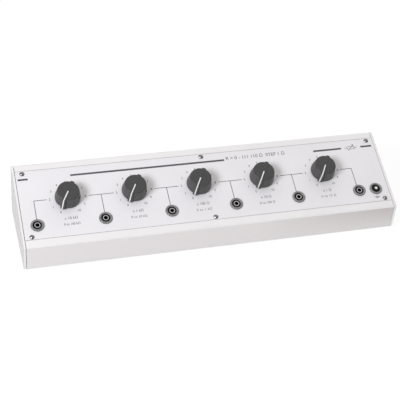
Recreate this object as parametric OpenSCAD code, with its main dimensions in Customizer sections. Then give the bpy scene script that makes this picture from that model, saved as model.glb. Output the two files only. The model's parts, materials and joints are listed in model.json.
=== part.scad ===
// Decade resistance box: a folded sheet case with a sloping panel, five rotary decades,
// six 4 mm safety sockets and an earth terminal.
// Millimetres, +Z up, front wall at -Y, origin on the table under the middle of the case.

/* [Layout] */
// Distance from socket to socket, and from knob to knob
pitch = 65; // [56:1:80]
// Distance from a case end to the first socket or to the earth terminal
end_margin = 16; // [15:0.5:30]
// Distance from the last socket to the earth terminal
earth_offset = 18; // [16:0.5:24]
// Distance from the panel's lower edge up to the row of sockets
socket_rise = 14.4; // [14:0.2:20]
// Distance from the row of sockets up to the row of knobs
knob_rise = 26.5; // [24:0.1:40]
// Distance from the row of knobs up to the panel's upper edge
panel_rise = 33.6; // [26:0.2:45]

/* [Case] */
// Height of the front wall, without the feet
front_h = 28.5; // [26:0.1:45]
// Slope of the panel in degrees
slope = 19.7; // [16:0.1:25]
// Thickness of the folded sheet
sheet_t = 1.5; // [1:0.1:2]
// Inside radius of the sheet's four bends
bend_r = 1.5; // [0.8:0.1:2.5]
// Width of the painted strip along the panel's lower edge
strip_w = 7.7; // [7:0.1:12]
// Width of the painted strip along the panel's upper edge
back_strip_w = 9.2; // [7:0.1:12]
// Width of the ledges that carry the panel
ledge_w = 6; // [5.6:0.1:7]
// Thickness of the end plates
end_t = 2.1; // [1.5:0.1:3]
// Open joint between the painted pieces
joint_gap = 0.5; // [0.1:0.05:0.7]
// Length of the end plates' fixing tabs
tab_l = 12; // [9:0.5:16]
// Width of the end plates' fixing tabs
tab_w = 14; // [9:0.5:20]
// Distance between the two tabs of an end plate, centre to centre
tab_spacing = 40; // [24:1:50]
// Diameter of the rubber feet
foot_d = 10; // [8:0.5:14]
// Height of the rubber feet
foot_h = 3; // [2.4:0.1:6]
// Distance from the case's outer faces to the middle of a foot
foot_inset = 13; // [10:0.5:16]

/* [Panel] */
// Thickness of the panel
panel_t = 1.5; // [1:0.1:2.5]
// Distance from the panel's long edges to its screws
screw_inset = 2.7; // [2.6:0.1:3]
// Distance from the panel's short edges to its outer screws
screw_side = 6.7; // [5:0.1:9]

/* [Screws] */
// Diameter of the screw thread
screw_d = 3; // [2.5:0.1:3.2]
// Diameter of the screw head
head_d = 5; // [4.6:0.1:5.2]
// Height of the screw head
head_h = 1.5; // [1:0.1:2]
// Width across the flats of the panel's nuts
panel_nut_af = 5.5; // [5:0.1:5.6]
// Height of the panel's nuts
panel_nut_h = 2.4; // [1.8:0.1:3]

/* [Sockets] */
// Bore of the socket contacts
bore_d = 4; // [3.6:0.1:4.4]
// Depth of the bore
bore_depth = 20; // [16:0.5:21]
// Wall of the contact tube
contact_wall = 0.8; // [0.7:0.1:1.2]
// Gap round the contact tube for a plug's sleeve
shroud_gap = 1.3; // [1:0.05:1.5]
// Wall of the insulating body round the gap
socket_wall = 1.25; // [0.9:0.05:1.5]
// Overhang of the flange beyond the body
flange_lip = 1.05; // [0.6:0.05:1.3]
// Height of the flange above the panel
flange_h = 0.5; // [0.4:0.1:1]
// Height of the grey ring on the flange
ring_h = 0.9; // [0.6:0.1:1.5]
// Black rim left showing inside the grey ring
ring_inset = 0.2; // [0.1:0.05:0.4]
// Depth of the contact's rim below the ring's crown
contact_recess = 0.6; // [0.2:0.1:1]
// Closed end of the insulating body
socket_floor = 2; // [1.5:0.1:3]
// Length of the contact tube below the insulating body
contact_tail = 1; // [0.5:0.1:2]
// Height of the collar that seats the contact in the body
collar_h = 1; // [0.6:0.1:1.5]
// Overhang of the contact's collar
collar_lip = 0.7; // [0.4:0.1:0.8]
// Closed end of the contact below its bore
contact_end = 1.2; // [0.8:0.1:2]
// Length of the solder blade
blade_l = 6.5; // [5:0.5:8]
// Width of the solder blade
blade_w = 4; // [3:0.1:4.6]
// Thickness of the solder blade
blade_t = 0.8; // [0.5:0.1:1.2]
// Height of the socket nuts
socket_nut_h = 3; // [2:0.1:4]
// Wall of the socket nuts at their flats
socket_nut_wall = 1.6; // [1.2:0.1:2]

/* [Earth terminal] */
// Diameter of the bright pin
pin_d = 3; // [2.5:0.1:3.2]
// Height of the insulating boss above its flange
boss_h = 0.8; // [0.5:0.1:2]
// Bevel of the boss
boss_bevel = 0.3; // [0.1:0.1:0.4]
// Diameter of the neck through the panel
neck_d = 7; // [5:0.1:8]
// Height of the pin's end above the boss
pin_proud = 0.3; // [0.1:0.1:1]
// Thickness of the toothed washer
earth_washer_t = 0.8; // [0.5:0.1:1.2]
// Diameter of the toothed washer
earth_washer_d = 10; // [8.6:0.1:12]
// Height of the pin's nut
earth_nut_h = 2.4; // [1.8:0.1:3]
// Width across the flats of the pin's nut
earth_nut_af = 5.5; // [5:0.1:6.5]
// Length of the pin below its nut
pin_tail = 3; // [1:0.5:8]

/* [Knobs] */
// Diameter of the knob at its skirt
knob_d = 24.6; // [24:0.1:28]
// Diameter of the knob's top
knob_top_d = 21; // [18:0.1:23]
// Height of the knob's top above the panel
knob_h = 13.2; // [11.4:0.1:16]
// Height of the straight skirt
skirt_h = 1.6; // [1:0.1:3]
// Radius of the round top edge
knob_edge_r = 0.8; // [0.5:0.1:2]
// Running gap between knob and panel
knob_gap = 0.8; // [0.5:0.1:1.5]
// Height of the pointer rib above the knob's top
rib_rise = 0.2; // [0.1:0.1:2]
// Width of the pointer rib at its foot
rib_w = 4.6; // [4:0.1:7]
// Width of the pointer rib at its crest
rib_crest_w = 3.6; // [3:0.1:5]
// Overhang of the rib's back end beyond the knob's top
back_overhang = 0.9; // [0.4:0.1:1.6]
// Bevel at the rib's back end
rib_bevel = 0.6; // [0.3:0.1:1]
// Overhang of the pointer's tip beyond the skirt
tip_overhang = 2.1; // [1:0.1:4]
// Height of the pointer's tip above the knob's foot
tip_gap = 0.5; // [0.2:0.1:1]
// Height of the blunt end of the pointer's tip
tip_blunt = 0.4; // [0.2:0.1:1]
// Lean of the pointer's front face, from tip to crest
tip_lean = 2; // [1:0.1:4]
// Width of the groove for the pointer line
line_w = 1.1; // [0.6:0.1:1.6]
// Depth of the groove for the pointer line
line_depth = 0.3; // [0.2:0.05:0.5]
// Thread of the knob's grub screw
grub_d = 3; // [2.5:0.1:3.5]
// Length of the knob's grub screw
grub_l = 6; // [4:0.5:7]

/* [Switches] */
// Diameter of the switch shaft
shaft_d = 6; // [5:0.1:6.6]
// Depth of the flat on the shaft
shaft_flat = 0.5; // [0.3:0.1:1]
// Length of shaft held in the knob
shaft_grip = 5.8; // [5.4:0.1:6]
// Diameter of the threaded bushing
bushing_d = 9.5; // [9:0.1:10.5]
// Height of the washer under the switch nut
washer_t = 0.8; // [0.5:0.1:1.2]
// Overhang of the washer beyond the nut's corners
washer_lip = 0.5; // [0.2:0.1:0.8]
// Height of the switch nut
switch_nut_h = 2.5; // [2:0.1:2.8]
// Width across the flats of the switch nut
switch_nut_af = 13; // [12.6:0.1:14]
// Length of bushing that shows above its nut
bushing_proud = 1.1; // [0.5:0.1:1.5]
// Gap between the bushing's end and the knob
bushing_clear = 0.5; // [0.3:0.1:0.8]
// Gap round the washer inside the knob
recess_clear = 1; // [0.6:0.1:1.2]
// Diameter of the switch housing
housing_d = 26; // [25:0.5:30]
// Height of the switch housing
housing_h = 16; // [15.5:0.1:18]
// Thickness of the housing's front wall
housing_front = 2.5; // [1.5:0.1:3]
// Thickness of the housing's other walls
housing_wall = 1.5; // [1:0.1:2]
// Diameter of the shaft's rear pivot
pivot_d = 4; // [3:0.1:4.6]
// Running clearance of shaft and pivot, on the radius
run_clear = 0.03; // [0.02:0.01:0.08]
// Diameter of the detent star
star_d = 19; // [16:0.5:20]
// Thickness of the detent star
star_h = 3; // [2:0.1:3.5]
// Depth of the star's notches
notch_depth = 0.9; // [0.5:0.1:1.2]
// Diameter of the rotor's hub
hub_d = 10; // [9:0.1:12]
// Height of the rotor's hub below the star
hub_h = 4; // [3:0.1:4.5]
// Thickness of the wiper arm
wiper_t = 1.2; // [0.8:0.1:1.5]
// Width of the wiper arm
wiper_w = 3; // [2:0.1:4]
// Diameter of the wiper's contact
wiper_d = 2; // [1.5:0.1:2.6]
// Gap between the wiper's contact and the housing's wall
wiper_gap = 1; // [0.5:0.1:1.5]
// Height of the stop pin and of the post it meets
stop_h = 0.8; // [0.6:0.1:0.9]
// Diameter of the stop pin on the rotor
stop_pin_d = 3; // [2.4:0.1:3.4]
// Distance from the shaft to the stop pin
stop_radius = 7; // [6.8:0.1:7.4]
// Running gap round the rotor
rotor_gap = 0.3; // [0.25:0.05:0.4]

/* [Decades] */
// Angle of the first position, left of straight down
first_angle = 30; // [30:1:32]
// Distance from the housing's rim to the lugs
lug_inset = 2; // [1.5:0.1:2.4]
// Length of the lugs
lug_l = 4; // [3:0.1:6]
// Width of the lugs
lug_w = 1.6; // [1.2:0.1:2]
// Thickness of the lugs
lug_t = 0.6; // [0.4:0.1:0.8]
// Diameter of a resistor
resistor_d = 2.4; // [1.6:0.1:2.6]
// Length of a resistor
resistor_l = 6; // [4:0.1:7]
// Gap from the lugs' ends to the resistors
resistor_drop = 1; // [0.6:0.1:2]
// Length of lead past a resistor before it turns back
lead_turn = 1; // [0.8:0.1:2]
// Diameter of a resistor's leads
lead_d = 0.6; // [0.4:0.05:0.7]
// Diameter of the link wires
wire_d = 1.6; // [1:0.1:2]

/* [Clearances] */
// Clearance of a piece in its hole, on the radius
hole_clear = 0.2; // [0.1:0.05:0.4]
// Clearance of a thread or a held piece, on the radius
seat_clear = 0.05; // [0.03:0.01:0.1]
// Gap between a soldered end and what it is soldered to
solder_gap = 0.2; // [0.1:0.05:0.3]

/* [Hidden] */
$fn = 48;
DECADES = 5;
STOPS = 12;
SOCKETS = DECADES + 1;
step_angle = 360 / STOPS;
// How far a cut runs past a face, and a joined form into the next one
over = 1;
// How far a bend's circle stands proud of its flats, so that the two cross instead of touching
bend_proud = 0.002;

// Places on the slope, from the front corner of the case upwards
panel_lo = strip_w + joint_gap;
socket_t = panel_lo + socket_rise;
knob_t = socket_t + knob_rise;
panel_hi = knob_t + panel_rise;
back_joint = panel_hi + joint_gap;
slope_l = back_joint + back_strip_w;

// Overall sizes and places of the case
case_l = 2 * end_margin + (SOCKETS - 1) * pitch + earth_offset;
case_d = slope_l * cos(slope);
y_front = -case_d / 2;
z_floor = foot_h;
z_front = z_floor + front_h;
shell_l = case_l - 2 * end_t - 2 * joint_gap;
first_socket_x = end_margin - case_l / 2;
earth_x = case_l / 2 - end_margin;
tab_x = case_l / 2 - end_t - tab_l / 2;

// Panel screws: three along each long edge
panel_screw_x = shell_l / 2 - screw_side;
panel_screw_places = [for (x = [-1, 0, 1], t = [panel_lo + screw_inset, panel_hi - screw_inset])
    [x * panel_screw_x, t]];

// Socket sizes, from the bore outwards
bore_r = bore_d / 2;
contact_r = bore_r + contact_wall;
shroud_r = contact_r + shroud_gap;
barrel_r = shroud_r + socket_wall;
flange_r = barrel_r + flange_lip;
socket_nut_r = (barrel_r + socket_nut_wall) / cos(30);
ring_top = flange_h + ring_h;
contact_top = ring_top - contact_recess;
contact_bottom = contact_top - bore_depth - contact_end;
socket_bottom = contact_bottom + contact_tail;
collar_r = contact_r + collar_lip;
ring_r = shroud_r + ring_inset;
boss_top = flange_h + boss_h;

// Knob and switch places along the switch axis, from the panel's face
nut_r = switch_nut_af / 2 / cos(30);
washer_r = nut_r + washer_lip;
bushing_top = washer_t + switch_nut_h + bushing_proud;
knob_bore_z = bushing_top + bushing_clear;
shaft_top = knob_bore_z + shaft_grip;
knob_recess_r = washer_r + recess_clear;
rib_top = knob_h + rib_rise;
rib_tip = knob_d / 2 + tip_overhang;
rib_foot = knob_gap + tip_gap;
grub_z = knob_bore_z + shaft_grip / 2;
housing_bottom = -panel_t - housing_h;
cavity_top = -panel_t - housing_front;
cavity_bottom = housing_bottom + housing_wall;
cavity_r = housing_d / 2 - housing_wall;
star_top = cavity_top - stop_h - rotor_gap;
hub_bottom = star_top - star_h - hub_h;
wiper_r = cavity_r - wiper_d / 2 - wiper_gap;
stop_chord = 2 * stop_radius * sin(first_angle / 2);
stop_post_d = 2 * (stop_chord - stop_pin_d / 2 - rotor_gap);

// Lugs and resistors
lug_r = housing_d / 2 - lug_inset;
half_chord = lug_r * sin(step_angle / 2);
lug_mid_r = lug_r * cos(step_angle / 2);
lead_r = lead_d / 2;
lead_x = half_chord - lug_t / 2 - solder_gap - lead_r;
lead_z = housing_bottom - lug_l / 2;
resistor_z = housing_bottom - lug_l - resistor_drop;
wire_r = wire_d / 2;

function socket_x(i) = first_socket_x + (i - 1) * pitch;
function knob_x(i) = socket_x(i) + pitch / 2;
// A point of the case's cross-section, from its distance up the slope and its height over the slope
function slope_point(t, n) =
    [y_front + t * cos(slope) - n * sin(slope), z_front + t * sin(slope) + n * cos(slope)];
function ray(a) = [cos(a), sin(a)];
function bezier(p, u) =
    pow(1 - u, 3) * p[0] + 3 * u * pow(1 - u, 2) * p[1] + 3 * u * u * (1 - u) * p[2] + pow(u, 3) * p[3];
function arc(c, r, a0, a1, steps) = [for (k = [0:steps]) c + r * ray(a0 + (a1 - a0) * k / steps)];
// Half an ellipse from the point [x0, y] over to [x1, y], rise above them in the middle
function crown(x0, x1, y, rise, steps) = [for (k = [0:steps]) let (a = 180 * k / steps)
    [(x0 + x1) / 2 - (x1 - x0) / 2 * cos(a), y + rise * sin(a)]];
// Corners of the case's cross-section, taken in by d from its outer faces
function corners(d) = [
    slope_point((case_d - d * (1 + sin(slope))) / cos(slope), -d),
    slope_point(d * (1 - sin(slope)) / cos(slope), -d),
    [y_front + d, z_floor + d],
    [-y_front - d, z_floor + d]];
// First and last angle of the bend at each corner
bend_angles = [[0, 90 + slope], [90 + slope, 180], [180, 270], [270, 360]];

// Places its children on the panel's face: x along the case, t up the slope, z outwards
module on_panel(x, t) {
    translate([x, y_front, z_front]) rotate([slope, 0, 0]) translate([0, t, 0]) children();
}

// Extrudes a cross-section of the case along the case, centred
module along_case(length) {
    translate([-length / 2, 0, 0]) rotate([90, 0, 90]) linear_extrude(length) children();
}

// Solid cross-section taken in by d from the outer faces, with corners of radius r
module case_outline(d, r) {
    centres = corners(d + r);
    tips = corners(d - over);
    difference() {
        polygon(corners(d));
        for (k = [0:3]) difference() {
            polygon([centres[k], centres[k] + (r + over) * ray(bend_angles[k][0]), tips[k],
                centres[k] + (r + over) * ray(bend_angles[k][1])]);
            translate(centres[k]) circle(r + bend_proud);
        }
    }
}

// A rectangle of the cross-section, from t0 to t1 up the slope and from n0 to n1 over it
module slope_rect(t0, t1, n0, n1) {
    polygon([slope_point(t0, n0), slope_point(t1, n0), slope_point(t1, n1), slope_point(t0, n1)]);
}

// Cross-section of the folded sheet: strips, steps down to the ledges, and an open top between them
module shell_profile() {
    under = -panel_t - sheet_t;
    difference() {
        case_outline(0, bend_r + sheet_t);
        difference() {
            case_outline(sheet_t, bend_r);
            slope_rect(strip_w - sheet_t, strip_w + ledge_w, under, over);
            slope_rect(back_joint - ledge_w, back_joint + sheet_t, under, over);
        }
        slope_rect(strip_w, back_joint, -panel_t, over);
        slope_rect(strip_w + ledge_w, back_joint - ledge_w, under - over, over);
    }
}

// Places its children at the four tab screws, on the underside of the floor
module at_tabs() {
    for (x = [-tab_x, tab_x], y = [-tab_spacing / 2, tab_spacing / 2])
        translate([x, y, z_floor]) children();
}

// Screw with a domed head on z = 0 and its shank downwards
module dome_screw(length) {
    head_r = head_d / 2;
    dome_r = (head_r * head_r + head_h * head_h) / (2 * head_h);
    cross_l = head_d * 0.5;
    cross_w = head_d * 0.16;
    difference() {
        rotate_extrude() polygon(concat(
            [[0, -length], [screw_d / 2, -length], [screw_d / 2, 0]],
            arc([0, head_h - dome_r], dome_r, 90 - asin(head_r / dome_r), 90, 6)));
        for (a = [0, 90]) rotate(a)
            translate([-cross_l / 2, -cross_w / 2, head_h / 2]) cube([cross_l, cross_w, head_h]);
    }
}

module hex_nut(r, height, hole_r) {
    difference() {
        cylinder(r = r, h = height, $fn = 6);
        translate([0, 0, -over]) cylinder(r = hole_r, h = height + 2 * over);
    }
}

// Straight rods along a list of points, with a slightly larger ball at each corner
module rod_path(points, r) {
    last = len(points) - 1;
    knuckle_r = r * 1.05;
    for (k = [0:last - 1]) {
        v = points[k + 1] - points[k];
        translate(points[k]) rotate([0, acos(v.z / norm(v)), atan2(v.y, v.x)]) cylinder(r = r, h = norm(v));
    }
    for (k = [1:last - 1]) translate(points[k]) sphere(r = knuckle_r);
}

// Round wire swept along a curve with four control points
module wire(control, r) {
    rings = 14;
    sides = 8;
    path = [for (k = [0:rings]) bezier(control, k / rings)];
    skin = [for (k = [0:rings]) let (
        ahead = path[min(k + 1, rings)] - path[max(k - 1, 0)],
        side = cross(ahead, [0, 0, 1]) / norm(cross(ahead, [0, 0, 1])),
        up = cross(side, ahead) / norm(ahead))
        for (j = [0:sides - 1]) path[k] + r * (cos(j * 360 / sides) * side + sin(j * 360 / sides) * up)];
    wall = [for (k = [0:rings - 1], j = [0:sides - 1]) let (
        a = k * sides + j,
        b = k * sides + (j + 1) % sides)
        each [[a, b, b + sides], [a, b + sides, a + sides]]];
    ends = [[for (j = [sides - 1:-1:0]) j], [for (j = [0:sides - 1]) rings * sides + j]];
    polyhedron(skin, concat(wall, ends));
}

module case_shell() {
    color("whitesmoke") difference() {
        along_case(shell_l) shell_profile();
        for (p = panel_screw_places) on_panel(p[0], p[1])
            translate([0, 0, -panel_t - sheet_t - over])
                cylinder(r = screw_d / 2 + hole_clear, h = sheet_t + 2 * over);
        at_tabs() translate([0, 0, -over])
            cylinder(r = screw_d / 2 + hole_clear, h = sheet_t + 2 * over);
    }
}

// The right end plate with its two fixing tabs; the left one is its mirror image
module end_plate() {
    inner_x = case_l / 2 - end_t;
    difference() {
        union() {
            translate([inner_x, 0, 0]) rotate([90, 0, 90])
                linear_extrude(end_t) case_outline(0, bend_r + sheet_t);
            for (y = [-tab_spacing / 2, tab_spacing / 2])
                translate([inner_x - tab_l, y - tab_w / 2, z_floor + sheet_t])
                    cube([tab_l + end_t / 2, tab_w, end_t]);
        }
        at_tabs() cylinder(r = screw_d / 2 + seat_clear, h = sheet_t + end_t + over);
    }
}

module left_end_plate() {
    color("whitesmoke") mirror([1, 0, 0]) end_plate();
}

module right_end_plate() {
    color("whitesmoke") end_plate();
}

module end_plate_screws() {
    color("silver") at_tabs() rotate([180, 0, 0]) dome_screw(sheet_t + end_t);
}

module rubber_feet() {
    x = case_l / 2 - 2 * foot_inset;
    y = case_d / 2 - foot_inset;
    rim = foot_h * 0.25;
    color("dimgray") for (sx = [-x, x], sy = [-y, y]) translate([sx, sy, 0])
        rotate_extrude() polygon([[0, 0], [foot_d / 2 - 2 * rim, 0], [foot_d / 2 - rim, rim],
            [foot_d / 2, foot_h], [0, foot_h]]);
}

module front_panel() {
    color("white") difference() {
        on_panel(0, panel_lo) translate([-shell_l / 2, 0, -panel_t])
            cube([shell_l, panel_hi - panel_lo, panel_t]);
        for (p = panel_screw_places) panel_hole(p[0], p[1], screw_d / 2);
        for (i = [1:SOCKETS]) panel_hole(socket_x(i), socket_t, barrel_r);
        for (i = [1:DECADES]) panel_hole(knob_x(i), knob_t, bushing_d / 2);
        panel_hole(earth_x, socket_t, neck_d / 2);
    }
}

module panel_hole(x, t, r) {
    on_panel(x, t) translate([0, 0, -panel_t - over])
        cylinder(r = r + hole_clear, h = panel_t + 2 * over);
}

module panel_screws() {
    color("gainsboro") for (p = panel_screw_places) on_panel(p[0], p[1])
        dome_screw(panel_t + sheet_t + panel_nut_h);
}

module panel_nuts() {
    color("silver") for (p = panel_screw_places) on_panel(p[0], p[1])
        translate([0, 0, -panel_t - sheet_t - panel_nut_h])
            hex_nut(panel_nut_af / 2 / cos(30), panel_nut_h, screw_d / 2 + seat_clear);
}

// Insulating body: flange on the panel, barrel through it, and the deep gap for a plug's sleeve
module socket_body(i) {
    inside = socket_bottom + socket_floor;
    color("#2b2b2b") on_panel(socket_x(i), socket_t) rotate_extrude() polygon([
        [flange_r, flange_h], [flange_r, 0], [barrel_r, 0], [barrel_r, socket_bottom],
        [contact_r + seat_clear, socket_bottom], [contact_r + seat_clear, inside],
        [shroud_r, inside], [shroud_r, flange_h]]);
}

// Grey rings with a round back, on the flanges of the sockets and of the earth terminal
module socket_rings() {
    places = concat([for (i = [1:SOCKETS]) socket_x(i)], [earth_x]);
    color("darkgray") for (x = places) on_panel(x, socket_t) rotate_extrude()
        polygon(crown(ring_r, flange_r, flange_h, ring_h, 10));
}

// Contact tube with its collar on the body's floor and its solder blade below
module socket_contact(i) {
    seat = socket_bottom + socket_floor;
    eye_r = blade_w / 5;
    color("silver") on_panel(socket_x(i), socket_t) difference() {
        union() {
            rotate_extrude() polygon([
                [bore_r, contact_top], [contact_r, contact_top], [contact_r, seat + collar_h],
                [collar_r, seat + collar_h], [collar_r, seat], [contact_r, seat],
                [contact_r, contact_bottom], [0, contact_bottom],
                [0, contact_bottom + contact_end], [bore_r, contact_bottom + contact_end]]);
            translate([-blade_w / 2, -blade_t / 2, contact_bottom - blade_l])
                cube([blade_w, blade_t, blade_l + contact_end / 2]);
        }
        translate([0, blade_t, contact_bottom - blade_l + blade_w / 2])
            rotate([90, 0, 0]) cylinder(r = eye_r, h = 2 * blade_t);
    }
}

module socket_nuts() {
    color("#3a3a3a") for (i = [1:SOCKETS]) on_panel(socket_x(i), socket_t)
        translate([0, 0, -panel_t - socket_nut_h]) hex_nut(socket_nut_r, socket_nut_h, barrel_r + seat_clear);
}

// Insulator of the earth terminal: neck through the panel, flange for the ring, and a boss round the pin
module earth_body() {
    hole_r = pin_d / 2 + seat_clear;
    color("#1e1e1e") on_panel(earth_x, socket_t) rotate_extrude() polygon([
        [hole_r, -panel_t], [neck_d / 2, -panel_t], [neck_d / 2, 0], [flange_r, 0], [flange_r, flange_h],
        [shroud_r, flange_h], [shroud_r, boss_top - boss_bevel], [shroud_r - boss_bevel, boss_top],
        [hole_r, boss_top]]);
}

module earth_pin() {
    bottom = -panel_t - earth_washer_t - earth_nut_h - pin_tail;
    color("gainsboro") on_panel(earth_x, socket_t) translate([0, 0, bottom])
        cylinder(d = pin_d, h = boss_top + pin_proud - bottom);
}

// Toothed washer that bites into the bare back of the panel
module earth_washer() {
    teeth = 12;
    notch_d = earth_washer_d / 8;
    cut_h = earth_washer_t + 2 * over;
    color("silver") on_panel(earth_x, socket_t) translate([0, 0, -panel_t - earth_washer_t]) difference() {
        cylinder(d = earth_washer_d, h = earth_washer_t);
        translate([0, 0, -over]) cylinder(r = pin_d / 2 + seat_clear, h = cut_h);
        for (k = [1:teeth]) rotate(k * 360 / teeth)
            translate([earth_washer_d / 2, 0, -over]) cylinder(d = notch_d, h = cut_h);
    }
}

module earth_nut() {
    color("silver") on_panel(earth_x, socket_t) translate([0, 0, -panel_t - earth_washer_t - earth_nut_h])
        hex_nut(earth_nut_af / 2 / cos(30), earth_nut_h, pin_d / 2 + seat_clear);
}

// Turns its children to the first position; they are drawn with the pointer straight down the panel
module at_switch(i) {
    on_panel(knob_x(i), knob_t) rotate(-first_angle) children();
}

// Round body of the knob: skirt, tapered side, round edge, and the hollow that clears nut and bushing
module knob_turned() {
    top_r = knob_top_d / 2;
    rotate_extrude() polygon(concat(
        [[knob_recess_r, knob_gap], [knob_d / 2, knob_gap], [knob_d / 2, knob_gap + skirt_h]],
        arc([top_r - knob_edge_r, knob_h - knob_edge_r], knob_edge_r, 10, 90, 6),
        [[0, knob_h], [0, shaft_top], [shaft_d / 2 + seat_clear, shaft_top],
        [shaft_d / 2 + seat_clear, knob_bore_z], [knob_recess_r, knob_bore_z]]));
}

// Side view of the pointer rib from the height base up, with the tip towards +x and cut short by inset
module rib_side(inset, base) {
    back = -knob_top_d / 2 - back_overhang;
    top = rib_top - inset;
    front = rib_tip - inset;
    polygon([[back, base], [back, rib_top - rib_bevel], [back + rib_bevel, top], [front - tip_lean, top],
        [front, rib_foot + tip_blunt], [front, base]]);
}

// Pointer rib with drafted sides, laid across the knob with its tip towards -y
module knob_rib() {
    intersection() {
        rotate([90, 0, -90]) translate([0, 0, -rib_w]) linear_extrude(2 * rib_w) rib_side(0, rib_foot);
        translate([0, rib_tip + over, 0]) rotate([90, 0, 0]) linear_extrude(2 * (rib_tip + over))
            polygon([[-rib_w / 2, 0], [rib_w / 2, 0],
                [rib_crest_w / 2, rib_top], [-rib_crest_w / 2, rib_top]]);
    }
}

// What the groove for the pointer line takes away, from the knob's middle over the tip
module line_cut() {
    rotate([90, 0, -90]) translate([0, 0, -line_w / 2]) linear_extrude(line_w) difference() {
        translate([line_w / 2, 0]) square([rib_tip + over, rib_top + over]);
        rib_side(line_depth, -over);
    }
}

module knob(i) {
    color("#333333") at_switch(i) difference() {
        union() {
            knob_turned();
            difference() {
                knob_rib();
                translate([0, 0, -over]) cylinder(r = knob_top_d / 2 - knob_edge_r, h = knob_h + over);
            }
        }
        line_cut();
        translate([0, 0, grub_z]) rotate([0, 90, 0]) cylinder(r = grub_d / 2 + seat_clear, h = knob_d);
    }
}

module knob_screw(i) {
    key_af = grub_d / 2;
    start = shaft_d / 2 - shaft_flat;
    color("#555555") at_switch(i) translate([start, 0, grub_z]) rotate([0, 90, 0]) difference() {
        cylinder(d = grub_d, h = grub_l);
        translate([0, 0, grub_l - key_af]) cylinder(r = key_af / 2 / cos(30), h = key_af + over, $fn = 6);
    }
}

// Shaft from the knob down to the rear pivot, with a flat for the grub screw
module switch_shaft(i) {
    shoulder = cavity_bottom + rotor_gap;
    color("silver") at_switch(i) difference() {
        rotate_extrude() polygon([[0, housing_bottom], [pivot_d / 2, housing_bottom], [pivot_d / 2, shoulder],
            [shaft_d / 2, shoulder], [shaft_d / 2, shaft_top], [0, shaft_top]]);
        translate([shaft_d / 2 - shaft_flat, -shaft_d, bushing_top + seat_clear])
            cube([shaft_d, 2 * shaft_d, shaft_top]);
    }
}

// Rotor: notched detent star with the stop pin, hub, wiper arm and contact
module switch_rotor(i) {
    notch_r = notch_depth * 1.8;
    color("#c9b27a") at_switch(i) difference() {
        union() {
            translate([0, 0, star_top - star_h]) difference() {
                cylinder(d = star_d, h = star_h);
                for (k = [0:STOPS - 1]) rotate(k * step_angle)
                    translate([star_d / 2 - notch_depth + notch_r, 0, -over])
                        cylinder(r = notch_r, h = star_h + 2 * over);
            }
            translate([0, 0, hub_bottom]) cylinder(d = hub_d, h = hub_h + over);
            translate([-wiper_w / 2, -wiper_r, hub_bottom]) cube([wiper_w, wiper_r, wiper_t]);
            translate([0, -wiper_r, cavity_bottom + rotor_gap])
                cylinder(d = wiper_d, h = hub_bottom + wiper_t - cavity_bottom - rotor_gap);
            translate([0, -stop_radius, star_top - over]) cylinder(d = stop_pin_d, h = stop_h + over);
        }
        translate([0, 0, cavity_bottom]) cylinder(r = shaft_d / 2 + seat_clear, h = housing_h);
    }
}

// Housing with its threaded bushing, the cavity for the rotor and the stop post
module switch_housing(i) {
    color("#3d3d3d") on_panel(knob_x(i), knob_t) {
        rotate_extrude() polygon([
            [shaft_d / 2 + run_clear, bushing_top], [bushing_d / 2, bushing_top], [bushing_d / 2, -panel_t],
            [housing_d / 2, -panel_t], [housing_d / 2, housing_bottom],
            [pivot_d / 2 + run_clear, housing_bottom], [pivot_d / 2 + run_clear, cavity_bottom],
            [cavity_r, cavity_bottom], [cavity_r, cavity_top], [shaft_d / 2 + run_clear, cavity_top]]);
        translate([0, -stop_radius, cavity_top - stop_h]) cylinder(d = stop_post_d, h = stop_h + over);
    }
}

module switch_washers() {
    color("silver") for (i = [1:DECADES]) on_panel(knob_x(i), knob_t) difference() {
        cylinder(r = washer_r, h = washer_t);
        translate([0, 0, -over]) cylinder(r = bushing_d / 2 + hole_clear, h = washer_t + 2 * over);
    }
}

module switch_nuts() {
    color("silver") for (i = [1:DECADES]) on_panel(knob_x(i), knob_t) translate([0, 0, washer_t])
        hex_nut(nut_r, switch_nut_h, bushing_d / 2 + seat_clear);
}

// Twelve lugs on the back of each switch: eleven positions and the common one straight down
module switch_lugs() {
    color("gold") for (i = [1:DECADES], k = [0:STOPS - 1]) at_switch(i) rotate(-k * step_angle)
        translate([-lug_t / 2, -lug_r - lug_w / 2, housing_bottom - lug_l]) cube([lug_t, lug_w, lug_l]);
}

// Ten resistors of one decade, each from a position's lug to the next
module resistors(i) {
    body_r = resistor_d / 2;
    waist_r = body_r * 0.84;
    cap_l = resistor_l / 4;
    end_z = resistor_z - resistor_l;
    turn_z = end_z - lead_turn;
    color("#9fb6c8") at_switch(i) for (k = [0:STOPS - 3]) rotate(-(k + 0.5) * step_angle)
        translate([0, -lug_mid_r, 0]) {
            rotate_extrude() polygon([[0, resistor_z], [body_r, resistor_z], [body_r, resistor_z - cap_l],
                [waist_r, resistor_z - cap_l], [waist_r, end_z + cap_l], [body_r, end_z + cap_l],
                [body_r, end_z], [0, end_z]]);
            rod_path([[0, 0, resistor_z - cap_l], [0, 0, lead_z], [lead_x, 0, lead_z]], lead_r);
            rod_path([[0, 0, end_z + cap_l], [0, 0, turn_z], [-lead_x, 0, turn_z], [-lead_x, 0, lead_z]],
                lead_r);
        }
}

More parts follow.
